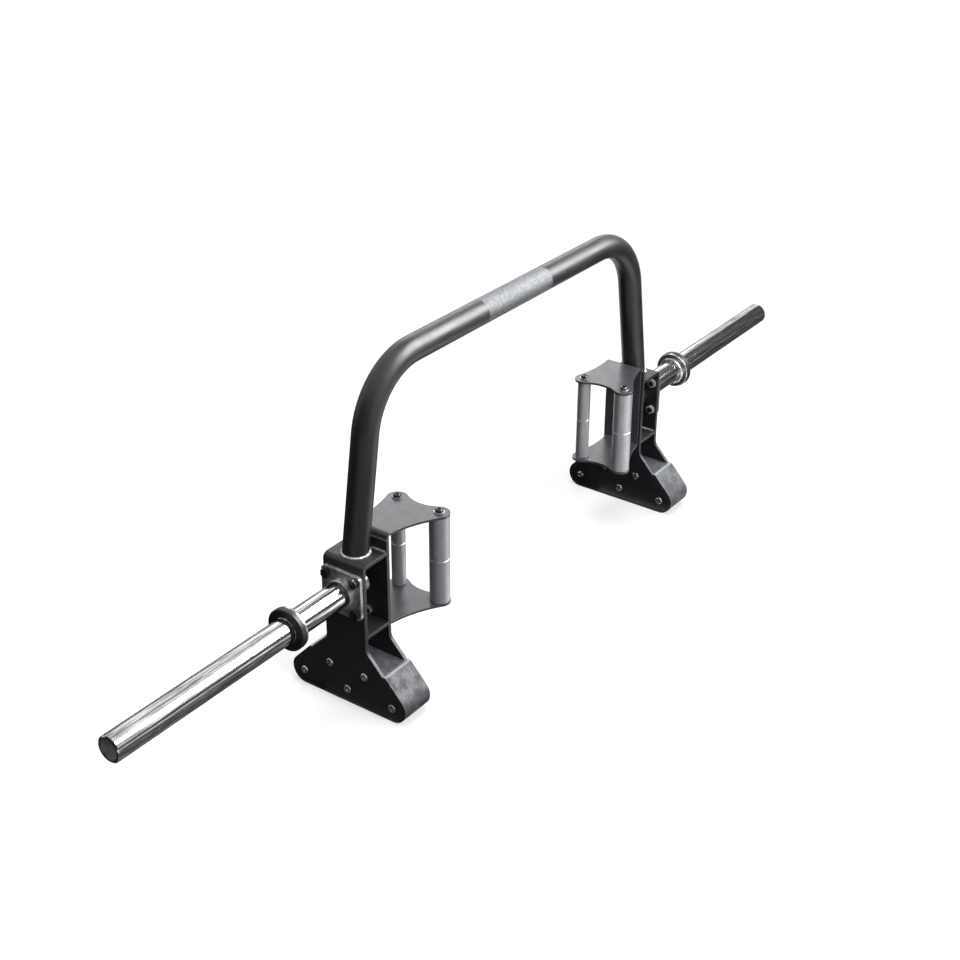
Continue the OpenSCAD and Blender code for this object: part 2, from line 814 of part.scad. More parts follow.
on_side(left) bush(bush_out - bush_len);  // left_outer_bush
on_side(right) bush(bush_out - bush_len);  // right_outer_bush
on_side(left) collar();  // left_collar
on_side(right) collar();  // right_collar
on_side(left) buffer_ring();  // left_buffer_ring
on_side(right) buffer_ring();  // right_buffer_ring
on_side(left) end_cap();  // left_end_cap
on_side(right) end_cap();  // right_end_cap
foot_bolts();
flange_bolts();
flange_nuts();
bracket_bolts();
bracket_nuts();
handle_bolts();
handle_washers();
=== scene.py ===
"""Looks of the open-ended trap bar: finishes, weld beads, floor, light and camera.

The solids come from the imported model. This script gives each of them its finish,
builds the rippled weld beads, and sets up the studio. Lengths are in metres, and in
millimetres where a name ends in mm. Places and sizes of the bar's own pieces are read
from the boxes of its nodes.
"""
from __future__ import annotations

import json
import logging
import math
from collections.abc import Sequence
from dataclasses import dataclass, field
from enum import Enum
from typing import Any

import bmesh
import bpy
from mathutils import Matrix, Vector

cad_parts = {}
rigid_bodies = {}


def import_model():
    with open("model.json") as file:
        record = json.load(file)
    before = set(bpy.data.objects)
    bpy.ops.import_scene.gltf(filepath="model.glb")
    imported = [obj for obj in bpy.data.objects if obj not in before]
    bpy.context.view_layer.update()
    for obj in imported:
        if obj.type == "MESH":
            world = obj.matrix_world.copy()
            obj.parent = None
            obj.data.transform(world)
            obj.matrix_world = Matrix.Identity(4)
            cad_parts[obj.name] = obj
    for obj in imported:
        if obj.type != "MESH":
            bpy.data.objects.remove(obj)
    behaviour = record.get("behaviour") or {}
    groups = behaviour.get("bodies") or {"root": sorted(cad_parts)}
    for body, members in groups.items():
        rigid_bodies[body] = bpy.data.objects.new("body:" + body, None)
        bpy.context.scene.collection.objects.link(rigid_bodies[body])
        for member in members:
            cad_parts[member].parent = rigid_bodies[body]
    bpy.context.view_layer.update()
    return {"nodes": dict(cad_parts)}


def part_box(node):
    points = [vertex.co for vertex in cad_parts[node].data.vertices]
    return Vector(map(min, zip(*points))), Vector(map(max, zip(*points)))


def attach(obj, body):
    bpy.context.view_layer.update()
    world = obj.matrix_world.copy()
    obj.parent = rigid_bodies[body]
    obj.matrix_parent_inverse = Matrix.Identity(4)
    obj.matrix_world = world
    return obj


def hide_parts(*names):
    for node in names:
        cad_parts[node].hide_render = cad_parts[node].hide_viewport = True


LOG = logging.getLogger("trap_bar")
MM = 0.001
# The frame is bent from tube of 50.8 mm.
TUBE_RADIUS = 0.0254
WHITE = (1.0, 1.0, 1.0, 1.0)
BLACK = "#000000"
# Cosine of the angle between the true and the rounded normal, where the wear of an edge starts
# and where it is full.
WEAR_STARTS, WEAR_FULL = 0.995, 0.80
SMOOTH = {"interpolation_type": "SMOOTHSTEP"}
# The Mix node's settings and sockets for colours. It has other sockets of the same names.
COLOURS = {"data_type": "RGBA"}
MASK, UNDER, OVER, MIXED = 0, 6, 7, 2

Point = tuple[float, float, float]
Socket = bpy.types.NodeSocket


class Side(Enum):
    """The two ends of the bar, as the sign of their X."""

    LEFT = -1
    RIGHT = 1

    @property
    def prefix(self) -> str:
        """Start of the names of this end's nodes."""
        return "left_" if self is Side.LEFT else "right_"


class Axis(Enum):
    """Direction that a turned piece's own axis has, as the number of its coordinate."""

    X = 0
    Z = 2


def linear(hex_colour: str) -> tuple[float, float, float, float]:
    """Turns an sRGB hex colour to the linear RGBA that Blender's sockets take.

    Args:
        hex_colour: Six hex digits, with or without a leading hash.

    Returns:
        Linear red, green, blue and an alpha of 1.
    """
    digits = hex_colour.lstrip("#")
    values = []
    for start in (0, 2, 4):
        s = int(digits[start:start + 2], 16) / 255
        values.append(s / 12.92 if s <= 0.04045 else ((s + 0.055) / 1.055) ** 2.4)
    return values[0], values[1], values[2], 1.0


class Tree:
    """The node tree of a material or a world, with one way to add a node."""

    def __init__(self, owner: bpy.types.Material | bpy.types.World) -> None:
        """Empties the node tree of a new material or world.

        Args:
            owner: The material or world.
        """
        self.owner = owner
        owner.use_nodes = True
        self.nodes = owner.node_tree.nodes
        self.links = owner.node_tree.links
        self.nodes.clear()

    @classmethod
    def of_material(cls, name: str) -> Tree:
        """Makes an empty material of that name and returns its tree."""
        return cls(bpy.data.materials.new(name))

    def add(
        self,
        kind: str,
        inputs: dict[Any, Any] | Sequence[Any] = (),
        out: int | str = 0,
        **settings: Any,
    ) -> Socket | None:
        """Adds a node with its settings, and sets or links its inputs.

        Args:
            kind: Node type without the leading ShaderNode.
            inputs: Sockets, numbers or hex colours, in the order of the node's inputs or by
                their names or numbers.
            out: Name or number of the output that is wanted.
            **settings: Properties of the node.

        Returns:
            That output, or None from a node that has none.
        """
        node = self.nodes.new("ShaderNode" + kind)
        for key, value in settings.items():
            setattr(node, key, value)
        for key, value in inputs.items() if isinstance(inputs, dict) else enumerate(inputs):
            if isinstance(value, Socket):
                self.links.new(value, node.inputs[key])
            else:
                node.inputs[key].default_value = linear(value) if isinstance(value, str) else value
        return node.outputs[out] if node.outputs else None

    def seen(self) -> Socket:
        """Tells what is looked at from what only throws light.

        Returns:
            A socket that is 1 for the camera, mirrors and glass, and 0 for diffuse light.
        """
        path = self.add("LightPath").node.outputs
        rays = [path["Is Camera Ray"], path["Is Glossy Ray"]]
        direct = self.add("Math", rays, operation="MAXIMUM")
        return self.add("Math", [direct, path["Is Transmission Ray"]], operation="MAXIMUM")

    def pattern(
        self,
        size_mm: float,
        detail: float = 2.0,
        rough: float = 0.5,
        stretch: Sequence[float] = (1, 1, 1),
    ) -> Socket:
        """Adds an irregular pattern whose features have a real size.

        Args:
            size_mm: Width of the pattern's features.
            detail: Octaves.
            rough: Strength of the finer octaves.
            stretch: Factors on the size along X, Y and Z.

        Returns:
            A socket from 0 to 1.
        """
        place = self.add("TexCoord", out="Object")
        scaled = self.add("Mapping", {"Vector": place, "Scale": [1 / s for s in stretch]})
        return self.add("TexNoise", {
            "Vector": scaled, "Scale": 1 / (size_mm * MM), "Detail": detail, "Roughness": rough,
        }, "Fac")

    def patches(
        self,
        size_mm: float,
        starts: float,
        full: float,
        detail: float = 4.0,
        rough: float = 0.6,
        stretch: Sequence[float] = (1, 1, 1),
    ) -> Socket:
        """Adds soft-edged patches of a real size.

        Args:
            size_mm: Width of the patches.
            starts: Level of the pattern where a patch starts.
            full: Level of the pattern where a patch is full.
            detail: Octaves of the pattern.
            rough: Strength of the finer octaves.
            stretch: Factors on the size along X, Y and Z.

        Returns:
            A socket that is 1 in the patches and 0 between them.
        """
        level = self.pattern(size_mm, detail, rough, stretch)
        return self.add("MapRange", [level, starts, full, 0, 1], **SMOOTH)

    def pressed(self, height: Socket, depth_mm: float, edge_mm: float) -> Socket:
        """Presses a pattern into a surface whose sharp edges are rounded.

        Args:
            height: The pattern, from 0 to 1.
            depth_mm: Its real depth.
            edge_mm: Radius of the edges.

        Returns:
            The surface's normal.
        """
        eased = self.add("Bevel", {"Radius": edge_mm * MM}, samples=4)
        return self.add("Bump", {
            "Height": height, "Distance": depth_mm * MM, "Strength": 1.0, "Normal": eased,
        })

    def edge_mask(self, radius_mm: float) -> Socket:
        """Finds the strip along sharp edges where a coat wears thin.

        Args:
            radius_mm: Half width of the strip.

        Returns:
            A socket that is 0 on flat faces and rises to 1 at an edge.
        """
        soft = self.add("Bevel", {"Radius": radius_mm * MM}, samples=4)
        flat = self.add("NewGeometry", out="Normal")
        cosine = self.add("VectorMath", [soft, flat], "Value", operation="DOT_PRODUCT")
        return self.add("MapRange", [cosine, WEAR_STARTS, WEAR_FULL, 0, 1], **SMOOTH)

    def finish(self, **sockets: Any) -> bpy.types.Material:
        """Adds the surface shader and closes the tree.

        Args:
            **sockets: Values or sockets of Principled BSDF inputs, with _ for a space.

        Returns:
            The finished material.
        """
        inputs = {name.replace("_", " "): value for name, value in sockets.items()}
        self.add("OutputMaterial", {"Surface": self.add("BsdfPrincipled", inputs)})
        return self.owner


def knurl_height(tree: Tree, centre: Point, axis: Axis, radius: float, pitch_mm: float) -> Socket:
    """Draws the crossed grooves of a diamond knurl round a turned piece.

    Args:
        tree: The material's tree.
        centre: A point on the piece's axis, X taken without its sign.
        axis: Direction of the piece's axis.
        radius: Radius of the piece.
        pitch_mm: Distance between grooves.

    Returns:
        The height's socket, 1 on the diamonds and 0 in the grooves.
    """
    x, y, z = tree.add("SeparateXYZ", [tree.add("TexCoord", out="Object")]).node.outputs
    spot = (tree.add("Math", [x], operation="ABSOLUTE"), y, z)
    local = [tree.add("Math", pair, operation="SUBTRACT") for pair in zip(spot, centre)]
    along = local.pop(axis.value)
    angle = tree.add("Math", local, operation="ARCTAN2")
    round_way = tree.add("Math", [angle, radius], operation="MULTIPLY")
    turns = math.pi / (pitch_mm * MM)
    grooves = []
    for way in (1.0, -1.0):
        slanted = tree.add("Math", [along, way, round_way], operation="MULTIPLY_ADD")
        phase = tree.add("Math", [slanted, turns], operation="MULTIPLY")
        wave = tree.add("Math", [phase], operation="SINE")
        grooves.append(tree.add("Math", [wave], operation="ABSOLUTE"))
    return tree.add("Math", grooves, operation="MINIMUM")


@dataclass(frozen=True)
class Finish:
    """A finish, which is made once and given to every piece that has it.

    Attributes:
        name: Its name, after the real finish.
    """

    name: str

    def build(self) -> bpy.types.Material:
        """Returns the finish as a material."""
        raise NotImplementedError


@dataclass(frozen=True)
class PowderCoat(Finish):
    """Powder coat baked on steel: an even skin with a fine orange peel.

    It gives a soft sheen, a slight mottle, and a lighter line where it thins on edges.

    Attributes:
        shade: Its darker colour.
        light: Its lighter colour.
        edge: Its colour on edges, where it wears thin.
        roughness: Its roughness.
        peel_mm: Width of the orange peel's bumps.
        peel_depth_mm: Their depth.
        metal: How metallic it looks, for a coat with metal flakes.
        smoother: How much smoother its polished patches are.
        rougher: How much rougher its handled patches are.
        handled_mm: Width of those patches.
        mottle_mm: Width of the lighter patches.
        worn_mm: Half width of the worn line on edges.
        edge_mm: Radius of the edges under the coat.
    """

    shade: str
    light: str
    edge: str
    roughness: float
    peel_mm: float
    peel_depth_mm: float
    metal: float = 0.0
    smoother: float = 0.03
    rougher: float = 0.04
    handled_mm: float = 14.0
    mottle_mm: float = 38.0
    worn_mm: float = 1.2
    edge_mm: float = 0.8

    def build(self) -> bpy.types.Material:
        """Builds the coat.

        Returns:
            The coat as a material.
        """
        tree = Tree.of_material(self.name)
        mottle = tree.patches(self.mottle_mm, 0.35, 0.65)
        colour = self.shade
        for mask, over in ((mottle, self.light), (tree.edge_mask(self.worn_mm), self.edge)):
            colour = tree.add("Mix", {MASK: mask, UNDER: colour, OVER: over}, MIXED, **COLOURS)
        handled = tree.pattern(self.handled_mm, detail=3)
        least, most = self.roughness - self.smoother, self.roughness + self.rougher
        peel = tree.pattern(self.peel_mm)
        return tree.finish(
            Base_Color=colour,
            Metallic=self.metal,
            Roughness=tree.add("MapRange", [handled, 0.3, 0.7, least, most], **SMOOTH),
            Normal=tree.pressed(peel, self.peel_depth_mm, self.edge_mm),
        )


@dataclass(frozen=True)
class BandedTube(Finish):
    """Satin powder-coated tube with a bare knurled band in the middle of its crossbar.

    The coat is smooth and picks up long soft highlights. The band is rolled before
    coating and left bright, so it reads as a pale, mottled, rough sleeve of metal.

    Attributes:
        coat_shade: The coat's darker colour.
        coat_light: The coat's lighter colour.
        coat_edge: The coat's colour at the ends of the tube.
        coat_roughness: The coat's roughness in its darker and in its lighter patches.
        mottle_mm: Width of those patches.
        peel_mm: Width of the coat's grain.
        peel_depth_mm: Depth of the coat's grain.
        worn_mm: Half width of the worn line on the tube's ends.
        edge_mm: Radius of the edges under the coat.
        band_shade: The band's darker colour.
        band_light: The band's lighter colour.
        band_metal: How metallic the band looks.
        band_rougher: How much rougher the band is than the coat.
        band_half_mm: Half the length of the band.
        ragged_mm: How far the end of the coat wanders along the tube.
        wander_mm: Width of its bends.
        blur_mm: Half width of the coat's thin end.
        wear_mm: Width of the band's lighter patches.
        pitch_mm: Distance between the knurl's grooves.
        knurl_depth_mm: Depth of the grooves.
    """

    name: str = "satin_coated_tube"
    coat_shade: str = "#1b1c1e"
    coat_light: str = "#222325"
    coat_edge: str = "#4a4b4d"
    coat_roughness: tuple[float, float] = (0.38, 0.44)
    mottle_mm: float = 38.0
    # The coat's real grain is under 1 mm; it is drawn at 3.4 mm so that it shows.
    peel_mm: float = 3.4
    peel_depth_mm: float = 0.15
    worn_mm: float = 1.0
    edge_mm: float = 0.6
    band_shade: str = "#5a5c5f"
    band_light: str = "#7c7e80"
    band_metal: float = 0.55
    band_rougher: float = 0.06
    band_half_mm: float = 107.0
    ragged_mm: float = 4.0
    wander_mm: float = 9.0
    blur_mm: float = 0.6
    wear_mm: float = 6.0
    # A real grip is 1.2 mm; it is drawn at 3 mm so that it shows at this distance.
    pitch_mm: float = 3.0
    knurl_depth_mm: float = 0.35

    def band(self, tree: Tree, crossbar_z: float) -> Socket:
        """Finds the knurled band.

        Args:
            tree: The material's tree.
            crossbar_z: Height of the crossbar's axis.

        Returns:
            A socket that is 1 on the band and 0 on the coat.
        """
        x, _, z = tree.add("SeparateXYZ", [tree.add("TexCoord", out="Object")]).node.outputs
        bends = [tree.pattern(self.wander_mm, detail=3), self.ragged_mm * MM]
        from_middle = tree.add("Math", [x], operation="ABSOLUTE")
        reach = tree.add("Math", [*bends, from_middle], operation="MULTIPLY_ADD")
        end = (self.band_half_mm + self.ragged_mm / 2) * MM
        blur = self.blur_mm * MM
        inside = tree.add("MapRange", [reach, end + blur, end - blur, 0, 1], **SMOOTH)
        below = crossbar_z - 2 * TUBE_RADIUS
        on_crossbar = tree.add("Math", [z, below], operation="GREATER_THAN")
        return tree.add("Math", [inside, on_crossbar], operation="MULTIPLY")

    def build(self) -> bpy.types.Material:
        """Builds the tube's finish.

        Returns:
            The coat and the band as one material.
        """
        tree = Tree.of_material(self.name)
        crossbar_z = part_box("frame_tube")[1].z - TUBE_RADIUS
        band = self.band(tree, crossbar_z)
        mottle = tree.patches(self.mottle_mm, 0.35, 0.65)
        tones = {MASK: mottle, UNDER: self.coat_shade, OVER: self.coat_light}
        coat = tree.add("Mix", tones, MIXED, **COLOURS)
        worn = {MASK: tree.edge_mask(self.worn_mm), UNDER: coat, OVER: self.coat_edge}
        coat = tree.add("Mix", worn, MIXED, **COLOURS)
        wear = tree.patches(self.wear_mm, 0.3, 0.7, detail=5, rough=0.7)
        tones = {MASK: wear, UNDER: self.band_shade, OVER: self.band_light}
        metal = tree.add("Mix", tones, MIXED, **COLOURS)
        grain = tree.pattern(self.peel_mm, detail=3, rough=0.7)
        peel = tree.pressed(grain, self.peel_depth_mm, self.edge_mm)
        diamonds = knurl_height(tree, (0, 0, crossbar_z), Axis.X, TUBE_RADIUS, self.pitch_mm)
        knurl = tree.add("Math", [diamonds, band], operation="MULTIPLY")
        depth = self.knurl_depth_mm * MM
        rough = tree.add("MapRange", [mottle, 0, 1, *self.coat_roughness], **SMOOTH)
        return tree.finish(
            Base_Color=tree.add("Mix", {MASK: band, UNDER: coat, OVER: metal}, MIXED, **COLOURS),
            Metallic=tree.add("Math", [band, self.band_metal], operation="MULTIPLY"),
            Roughness=tree.add("Math", [band, self.band_rougher, rough], operation="MULTIPLY_ADD"),
            Normal=tree.add("Bump", {"Height": knurl, "Distance": depth, "Normal": peel}),
        )


@dataclass(frozen=True)
class ScuffedBlock(Finish):
    """Moulded block of the feet: grey, blotched and scuffed by the floor.

    Cloudy patches tens of millimetres wide lie under a fine mould grain, with pale
    rubbed streaks and pale worn edges. A pale line along the top of the rim is partly
    wear and partly a painted highlight. The flat sides by the plates are near black:
    partly their black paint, partly painted shade.

    Attributes:
        dark: Colour of the darker clouds.
        pale: Colour of the paler clouds.
        rubbed: Colour of the rubbed streaks.
        bare: Colour of the worn edges and of the rim's two ends over the flat top; on the rim
        it is partly wear and partly a painted highlight.
        painted: Colour of the flat sides: partly black paint, partly painted shade.
        roughness: Roughness of the darker and of the paler clouds.
        cloud_mm: Width of the clouds.
        streak_mm: Width of the streaks.
        streak_share: How much of their colour the streaks show.
        worn_mm: Half width of the worn line on edges.
        worn_share: How much of their colour the worn edges show.
        rim_wear_and_highlight_mm: Where the rim's pale line starts and where it is full, below its
            top.
        grain_mm: Width of the mould grain.
        grain_depth_mm: Depth of the mould grain.
        edge_mm: Radius of the block's edges.
    """

    name: str = "scuffed_moulded_block"
    dark: str = "#33353a"
    pale: str = "#5a5d62"
    rubbed: str = "#a9abae"
    # Pale colour of the worn edges, and of the rim's top where it is partly a painted highlight.
    bare: str = "#b6b8ba"
    # Near black of the flat sides: partly their black paint, partly painted shade.
    painted: str = "#141518"
    roughness: tuple[float, float] = (0.68, 0.56)
    cloud_mm: float = 22.0
    streak_mm: float = 7.0
    streak_share: float = 0.35
    worn_mm: float = 1.8
    worn_share: float = 0.85
    rim_wear_and_highlight_mm: tuple[float, float] = (1.6, 0.6)
    grain_mm: float = 1.6
    grain_depth_mm: float = 0.08
    edge_mm: float = 1.0

    def worn(self, tree: Tree) -> Socket:
        """Finds the worn edges and the rim's top, which is partly wear and partly a painted
        highlight.

        Args:
            tree: The material's tree.

        Returns:
            A socket that is 1 on the worn edges and on the rim's top.
        """
        # The rim's top gets the pale colour: partly wear, partly a painted highlight.
        rim_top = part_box("left_foot_block")[1].z
        height = tree.add("SeparateXYZ", [tree.add("TexCoord", out="Object")], "Z")
        starts, full = (rim_top - depth * MM for depth in self.rim_wear_and_highlight_mm)
        rim = tree.add("MapRange", [height, starts, full, 0, 1], **SMOOTH)
        return tree.add("Math", [tree.edge_mask(self.worn_mm), rim], operation="MAXIMUM")

    def flat_side(self, tree: Tree) -> Socket:
        """Finds the faces that look along the bar.

        Args:
            tree: The material's tree.

        Returns:
            A socket that is 1 on them.
        """
        facing = tree.add("SeparateXYZ", [tree.add("NewGeometry", out="True Normal")], "X")
        cosine = tree.add("Math", [facing], operation="ABSOLUTE")
        return tree.add("MapRange", [cosine, 0.90, 0.98, 0, 1], **SMOOTH)

    def build(self) -> bpy.types.Material:
        """Builds the block's finish.

        Returns:
            The finish as a material.
        """
        tree = Tree.of_material(self.name)
        clouds = tree.patches(self.cloud_mm, 0.36, 0.66, detail=6, rough=0.62)
        streaks = tree.patches(self.streak_mm, 0.60, 0.74, rough=0.5, stretch=(0.35, 1, 3.2))
        rubbed = tree.add("Math", [streaks, self.streak_share], operation="MULTIPLY")
        worn = tree.add("Math", [self.worn(tree), self.worn_share], operation="MULTIPLY")
        # The flat sides are made near black: partly their black paint, partly painted shade.
        side = self.flat_side(tree)
        colour = self.dark
        for mask, over in (
            (clouds, self.pale), (rubbed, self.rubbed), (worn, self.bare), (side, self.painted),
        ):
            colour = tree.add("Mix", {MASK: mask, UNDER: colour, OVER: over}, MIXED, **COLOURS)
        grain = tree.pattern(self.grain_mm, detail=4, rough=0.6)
        return tree.finish(
            Base_Color=colour,
            Roughness=tree.add("MapRange", [clouds, 0, 1, *self.roughness], **SMOOTH),
            Normal=tree.pressed(grain, self.grain_depth_mm, self.edge_mm),
        )


@dataclass(frozen=True)
class GripSteel(Finish):
    """Satin nickel-plated handle with a fine diamond knurl, bright where hands rub it.

    Attributes:
        node: The right side's handle, which gives its axis and radius.
        dark: Colour where it is dulled.
        light: Colour where it is rubbed.
        metal: How metallic it looks.
        roughness: Its roughness where it is dulled and where it is rubbed.
        rub_mm: Width of the rubbed patches.
        pitch_mm: Distance between the knurl's grooves.
        knurl_depth_mm: Depth of the grooves.
        edge_mm: Radius of the handle's edges.
    """

    node: str
    dark: str = "#a9abae"
    light: str = "#bbbdc0"
    metal: float = 0.65
    roughness: tuple[float, float] = (0.48, 0.42)
    rub_mm: float = 26.0
    # A real knurl of this kind is 1 mm; it is drawn at 1.8 mm so that it shows.
    pitch_mm: float = 1.8
    knurl_depth_mm: float = 0.035
    edge_mm: float = 0.4

    def build(self) -> bpy.types.Material:
        """Builds the handle's finish.

        Returns:
            The finish as a material.
        """
        tree = Tree.of_material(self.name)
        low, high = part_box(self.node)
        middle = (low + high) / 2
        radius = (high.y - low.y) / 2
        rub = tree.patches(self.rub_mm, 0.25, 0.75, stretch=(1, 1, 2.5))
        diamonds = knurl_height(tree, (middle.x, middle.y, 0), Axis.Z, radius, self.pitch_mm)
        tones = {MASK: rub, UNDER: self.dark, OVER: self.light}
        return tree.finish(
            Base_Color=tree.add("Mix", tones, MIXED, **COLOURS),
            Metallic=self.metal,
            Roughness=tree.add("MapRange", [rub, 0, 1, *self.roughness], **SMOOTH),
            Normal=tree.pressed(diamonds, self.knurl_depth_mm, self.edge_mm),
        )


@dataclass(frozen=True)
class PlatedSteel(Finish):
    """Bare, plated or blackened metal on turned or drawn pieces.

    Plating follows the tool marks beneath it, so the finish has faint lines along or
    round the piece, and a thin dull film of handling.

    Attributes:
        shade: Colour under the film.
        light: Colour where it is clean.
        roughness: Roughness where it is clean.
        spread: How much rougher the film makes it.
        line_mm: Width of the tool marks.
        line_depth_mm: Depth of the tool marks.
        stretch: Factors on every pattern's size along X, Y and Z.
        metal: How metallic it looks.
        wave_mm: Width of the waves that make a mirror image uneven.
        wave_depth_mm: Depth of the waves.
        film_mm: Width of the film's patches.
        edge_mm: Radius of the piece's edges.
    """

    shade: str
    light: str
    roughness: float
    spread: float
    line_mm: float = 1.2
    line_depth_mm: float = 0.004
    stretch: tuple[float, float, float] = (1, 1, 1)
    metal: float = 1.0
    wave_mm: float = 14.0
    wave_depth_mm: float = 0.0
    film_mm: float = 17.0
    edge_mm: float = 0.4

    def build(self) -> bpy.types.Material:
        """Builds the metal's finish.

        Returns:
            The finish as a material.
        """
        tree = Tree.of_material(self.name)
        clean = tree.patches(self.film_mm, 0.34, 0.66, stretch=self.stretch)
        tones = {MASK: clean, UNDER: self.shade, OVER: self.light}
        filmed = self.roughness + self.spread
        waves = tree.pattern(self.wave_mm, stretch=self.stretch)
        wavy = tree.pressed(waves, self.wave_depth_mm, self.edge_mm)
        marks = tree.pattern(self.line_mm, stretch=self.stretch)
        depth = self.line_depth_mm * MM
        return tree.finish(
            Base_Color=tree.add("Mix", tones, MIXED, **COLOURS),
            Metallic=self.metal,
            Roughness=tree.add("MapRange", [clean, 0, 1, filmed, self.roughness], **SMOOTH),
            Normal=tree.add("Bump", {"Height": marks, "Distance": depth, "Normal": wavy}),
        )


@dataclass(frozen=True)
class WeldMetal(Finish):
    """Bare weld bead: bright lumpy steel, greyer where it was heated.

    Attributes:
        heated: Colour of the heated patches.
        bright: Colour of the clean bead.
        metal: How metallic it looks.
        roughness: Its roughness where it was heated and where it is clean.
        heat_mm: Width of the patches.
        lump_mm: Width of the bead's small lumps.
        lump_depth_mm: Their height.
    """

    name: str = "bare_weld_bead"
    heated: str = "#85868a"
    bright: str = "#d2d3d4"
    metal: float = 0.6
    roughness: tuple[float, float] = (0.42, 0.26)
    heat_mm: float = 5.0
    lump_mm: float = 1.4
    lump_depth_mm: float = 0.12

    def build(self) -> bpy.types.Material:
        """Builds the bead's finish.

        Returns:
            The finish as a material.
        """
        tree = Tree.of_material(self.name)
        clean = tree.patches(self.heat_mm, 0.35, 0.65, rough=0.5)
        tones = {MASK: clean, UNDER: self.heated, OVER: self.bright}
        lumps = tree.pattern(self.lump_mm, detail=3)
        return tree.finish(
            Base_Color=tree.add("Mix", tones, MIXED, **COLOURS),
            Metallic=self.metal,
            Roughness=tree.add("MapRange", [clean, 0, 1, *self.roughness], **SMOOTH),
            Normal=tree.add("Bump", {"Height": lumps, "Distance": self.lump_depth_mm * MM}),
        )


@dataclass(frozen=True)
class MouldedRubber(Finish):
    """Moulded rubber or plastic: matt, slightly dusty, with a fine mould grain.

    Attributes:
        shade: Its own colour.
        dust: Its colour under dust and on edges.
        roughness: Its roughness where it is clean.
        rougher: How much rougher the dust makes it.
        dust_mm: Width of the dusty patches.
        worn_mm: Half width of the pale line on edges.
        worn_share: How much of its colour that line shows.
        grain_mm: Width of the mould grain.
        grain_depth_mm: Depth of the mould grain.
        edge_mm: Radius of the piece's edges.
    """

    shade: str
    dust: str
    roughness: float
    rougher: float = 0.12
    dust_mm: float = 12.0
    worn_mm: float = 1.0
    worn_share: float = 0.5
    grain_mm: float = 1.0
    grain_depth_mm: float = 0.03
    edge_mm: float = 0.8

    def build(self) -> bpy.types.Material:
        """Builds the rubber or plastic.

        Returns:
            The finish as a material.
        """
        tree = Tree.of_material(self.name)
        dusty = tree.patches(self.dust_mm, 0.45, 0.75)
        edges = tree.edge_mask(self.worn_mm)
        worn = tree.add("Math", [edges, self.worn_share], operation="MULTIPLY")
        colour = self.shade
        for mask in (dusty, worn):
            tones = {MASK: mask, UNDER: colour, OVER: self.dust}
            colour = tree.add("Mix", tones, MIXED, **COLOURS)
        dulled = self.roughness + self.rougher
        grain = tree.pattern(self.grain_mm)
        return tree.finish(
            Base_Color=colour,
            Roughness=tree.add("MapRange", [dusty, 0, 1, self.roughness, dulled], **SMOOTH),
            Normal=tree.pressed(grain, self.grain_depth_mm, self.edge_mm),
        )


@dataclass
class Finishes:
    """Every finish on the bar, made once."""

    made: dict[str, bpy.types.Material] = field(default_factory=dict)

    def get(self, finish: Finish) -> bpy.types.Material:
        """Builds a finish at its first use.

        Args:
            finish: The finish.

        Returns:
            Its material.
        """
        if finish.name not in self.made:
            self.made[finish.name] = finish.build()
            LOG.info("finish %s", finish.name)
        return self.made[finish.name]


TUBE = BandedTube()
BLOCK = ScuffedBlock()
WELD = WeldMetal()
THICK_GRIP = GripSteel("satin_nickel_thick_handle", "right_thick_handle")
THIN_GRIP = GripSteel("satin_nickel_thin_handle", "right_thin_handle")

# Fine-textured black coat of the foot plates and shelves: deep and dull, with pale outlines.
PLATE = PowderCoat(
    "fine_texture_black_powder_coat", "#1b1c1f", "#212226", "#85878b",
    roughness=0.48, peel_mm=1.6, peel_depth_mm=0.04,
)
# Grey coat with metal flakes on the handle brackets: a smooth mid grey with a satin sheen.
HANDLE_PLATE = PowderCoat(
    "satin_grey_powder_coat", "#494b4e", "#4f5154", "#85878b",
    roughness=0.36, peel_mm=2.0, peel_depth_mm=0.015, metal=0.35,
)
# Bright chrome of the sleeves: a mirror with soft streaks along the tube. Its dark streaks
# are partly handling film and partly painted reflection.
CHROME = PlatedSteel(
    "bright_chrome_plate", "#8f9194", "#eeeff0", roughness=0.09, spread=0.06,
    line_mm=2.0, line_depth_mm=0.01, stretch=(14, 1, 1),
    wave_mm=7.0, wave_depth_mm=0.13, film_mm=4.5,
)
# The collars' chrome, dulled by the plates that knock against it: broad, soft highlights.
COLLAR = PlatedSteel(
    "dulled_chrome_plate", "#8f9193", "#d4d6d7", roughness=0.20, spread=0.12,
    line_mm=2.0, line_depth_mm=0.02, wave_mm=9.0, wave_depth_mm=0.15,
)
# Bare steel of the axles, retaining washers and plugs: plain grey with faint turned rings.
TURNED = PlatedSteel(
    "ground_turned_steel", "#7b7d80", "#9c9ea1", roughness=0.24, spread=0.08,
    line_mm=0.8, line_depth_mm=0.01, stretch=(0.3, 2, 2),
)
# Zinc of the flanges, bracket nuts and handle washers: pale, blotched, between satin and matt.
ZINC = PlatedSteel(
    "bright_zinc_plate", "#808285", "#cfd1d3", roughness=0.26, spread=0.12,
    line_mm=2.2, line_depth_mm=0.02, metal=0.65,
)
# Blackened bolts of the flanges, brackets and handles: nearly black, with small sharp glints.
BLACKENED = PlatedSteel(
    "blackened_bolt_steel", "#2c2d30", "#505154", roughness=0.14, spread=0.08,
    line_mm=1.0, line_depth_mm=0.01, metal=0.8, wave_mm=3.0, wave_depth_mm=0.25,
)
# Dull plating of the foot bolts: grey heads with small glints on the black plates.
DULL_BOLT = PlatedSteel(
    "dull_plated_bolt_steel", "#8d8f92", "#c8cacc", roughness=0.16, spread=0.10,
    line_mm=1.0, line_depth_mm=0.01, wave_mm=3.0, wave_depth_mm=0.3,
)
